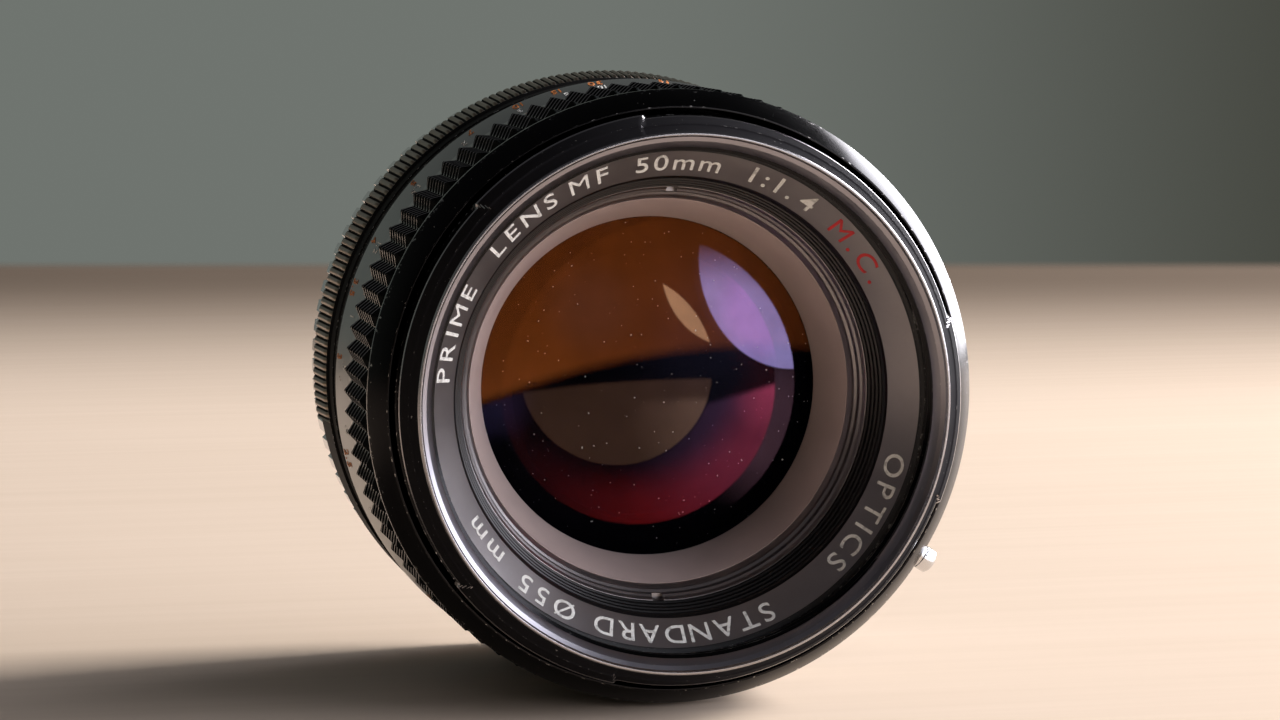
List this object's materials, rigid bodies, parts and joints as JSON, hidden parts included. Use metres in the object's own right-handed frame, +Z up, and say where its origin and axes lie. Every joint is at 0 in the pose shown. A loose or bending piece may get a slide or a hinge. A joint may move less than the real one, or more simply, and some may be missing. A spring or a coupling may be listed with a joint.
{
  "type": "prime camera lens",
  "caption": "Fast fifty-millimetre prime lens with ribbed focus ring, knurled aperture ring, breech-lock mount, coated glass and a working diaphragm.",
  "frame": {"origin": "centre of the mount's bearing face, on the optical axis", "axes": "-Y forward along the optical axis out of the front glass, +Z up through the index line, +X to the right seen from the front; the lens lies on its side"},
  "size_m": [0.0678, 0.0558, 0.0673],
  "materials": {
    "black_matt": "matt black anodised",
    "black_gloss": "semi-gloss black anodised, worn at the edges",
    "black_satin": "satin black with engraved lettering",
    "baffle_grey": "satin dark baffle",
    "bare_alloy": "turned",
    "brass": "turned",
    "chrome": "satin chrome",
    "steel": "bright",
    "blade_steel": "blued",
    "coated_glass": "multi-coated, amber and magenta reflections",
    "red_bead": "gloss"
  },
  "bodies": {
    "barrel": {"main_barrel": "black_matt", "scale_ring": "black_gloss", "bulkhead_plate": "bare_alloy", "guide_keys": "brass", "key_screws": "steel", "mount_plate": "chrome", "mount_screws": "steel", "signal_pins": "steel", "rear_tube": "black_matt", "lever_retainer": "brass", "click_ball": "steel", "click_spring": "brass", "focus_stop_pin": "steel"},
    "focus": {"focus_ring": "black_gloss", "helicoid_sleeve": "bare_alloy", "focus_retainer": "bare_alloy", "focus_ring_screws": "steel", "flash_pin": "chrome"},
    "lens_block": {"front_barrel": "black_gloss", "block_barrel": "bare_alloy", "barrel_screws": "steel", "name_ring": "black_satin", "retaining_ring": "black_satin", "inner_cone": "baffle_grey", "front_cell": "black_matt", "spacer_1_2": "black_matt", "glass_1": "coated_glass", "glass_2": "coated_glass", "glass_3": "coated_glass", "rear_cell": "black_matt", "glass_4": "coated_glass", "glass_5": "coated_glass", "spacer_5_6": "black_matt", "glass_6": "coated_glass", "spacer_6_7": "black_matt", "glass_7": "coated_glass", "rear_retainer": "black_matt", "diaphragm_housing": "black_matt", "diaphragm_cover": "black_matt"},
    "drive_ring": {"blade_drive_ring": "brass"},
    "blade_1": {"blade_1": "blade_steel"},
    "blade_2": {"blade_2": "blade_steel"},
    "blade_3": {"blade_3": "blade_steel"},
    "blade_4": {"blade_4": "blade_steel"},
    "blade_5": {"blade_5": "blade_steel"},
    "blade_6": {"blade_6": "blade_steel"},
    "blade_7": {"blade_7": "blade_steel"},
    "blade_8": {"blade_8": "blade_steel"},
    "stop_down": {"stop_down_lever": "steel"},
    "aperture": {"aperture_ring": "black_gloss", "aperture_signal_ring": "brass", "aperture_drive_screw": "steel"},
    "lock": {"lock_button": "chrome"},
    "breech": {"breech_ring": "chrome", "breech_retainer": "brass", "mount_dot": "red_bead"}
  },
  "joints": [
    {"name": "focus_turn", "type": "hinge", "parent": "barrel", "child": "focus", "pos_m": [0, 0, 0], "axis": [0, 1, 0], "range_deg": [0, 200]},
    {"name": "block_slide", "type": "slide", "parent": "barrel", "child": "lens_block", "axis": [0, -1, 0], "range_m": [0, 0.00731]},
    {"name": "aperture_turn", "type": "hinge", "parent": "barrel", "child": "aperture", "pos_m": [0, 0, 0], "axis": [0, -1, 0], "range_deg": [0, 77]},
    {"name": "lock_press", "type": "slide", "parent": "aperture", "child": "lock", "axis": [-0.9063, 0, 0.4226], "range_m": [0, 0.0009], "stiffness_N_per_m": 300},
    {"name": "breech_turn", "type": "hinge", "parent": "barrel", "child": "breech", "pos_m": [0, 0, 0], "axis": [0, 1, 0], "range_deg": [0, 55]},
    {"name": "stop_down_turn", "type": "hinge", "parent": "barrel", "child": "stop_down", "pos_m": [0, 0, 0], "axis": [0, -1, 0], "range_deg": [0, 16], "stiffness_Nm_per_rad": 0.02},
    {"name": "diaphragm_turn", "type": "hinge", "parent": "lens_block", "child": "drive_ring", "pos_m": [0, 0, 0], "axis": [0, -1, 0], "range_deg": [0, 16.05]},
    {"name": "blade_1_turn", "type": "hinge", "parent": "lens_block", "child": "blade_1", "pos_m": [0.0173, -0.0143, 0], "axis": [0, -1, 0], "range_deg": [0, 37.5]},
    {"name": "blade_2_turn", "type": "hinge", "parent": "lens_block", "child": "blade_2", "pos_m": [0.01223, -0.0143, 0.01223], "axis": [0, -1, 0], "range_deg": [0, 37.5]},
    {"name": "blade_3_turn", "type": "hinge", "parent": "lens_block", "child": "blade_3", "pos_m": [0, -0.0143, 0.0173], "axis": [0, -1, 0], "range_deg": [0, 37.5]},
    {"name": "blade_4_turn", "type": "hinge", "parent": "lens_block", "child": "blade_4", "pos_m": [-0.01223, -0.0143, 0.01223], "axis": [0, -1, 0], "range_deg": [0, 37.5]},
    {"name": "blade_5_turn", "type": "hinge", "parent": "lens_block", "child": "blade_5", "pos_m": [-0.0173, -0.0143, 0], "axis": [0, -1, 0], "range_deg": [0, 37.5]},
    {"name": "blade_6_turn", "type": "hinge", "parent": "lens_block", "child": "blade_6", "pos_m": [-0.01223, -0.0143, -0.01223], "axis": [0, -1, 0], "range_deg": [0, 37.5]},
    {"name": "blade_7_turn", "type": "hinge", "parent": "lens_block", "child": "blade_7", "pos_m": [0, -0.0143, -0.0173], "axis": [0, -1, 0], "range_deg": [0, 37.5]},
    {"name": "blade_8_turn", "type": "hinge", "parent": "lens_block", "child": "blade_8", "pos_m": [0.01223, -0.0143, -0.01223], "axis": [0, -1, 0], "range_deg": [0, 37.5]}
  ],
  "couplings": [
    {"joint": "block_slide", "follows": "focus_turn", "m_per_rad": 0.0020913},
    {"joint": "diaphragm_turn", "follows": "stop_down_turn", "ratio": 1},
    {"joint": "blade_1_turn", "follows": "stop_down_turn", "ratio": 2.3375},
    {"joint": "blade_2_turn", "follows": "stop_down_turn", "ratio": 2.3375},
    {"joint": "blade_3_turn", "follows": "stop_down_turn", "ratio": 2.3375},
    {"joint": "blade_4_turn", "follows": "stop_down_turn", "ratio": 2.3375},
    {"joint": "blade_5_turn", "follows": "stop_down_turn", "ratio": 2.3375},
    {"joint": "blade_6_turn", "follows": "stop_down_turn", "ratio": 2.3375},
    {"joint": "blade_7_turn", "follows": "stop_down_turn", "ratio": 2.3375},
    {"joint": "blade_8_turn", "follows": "stop_down_turn", "ratio": 2.3375}
  ]
}
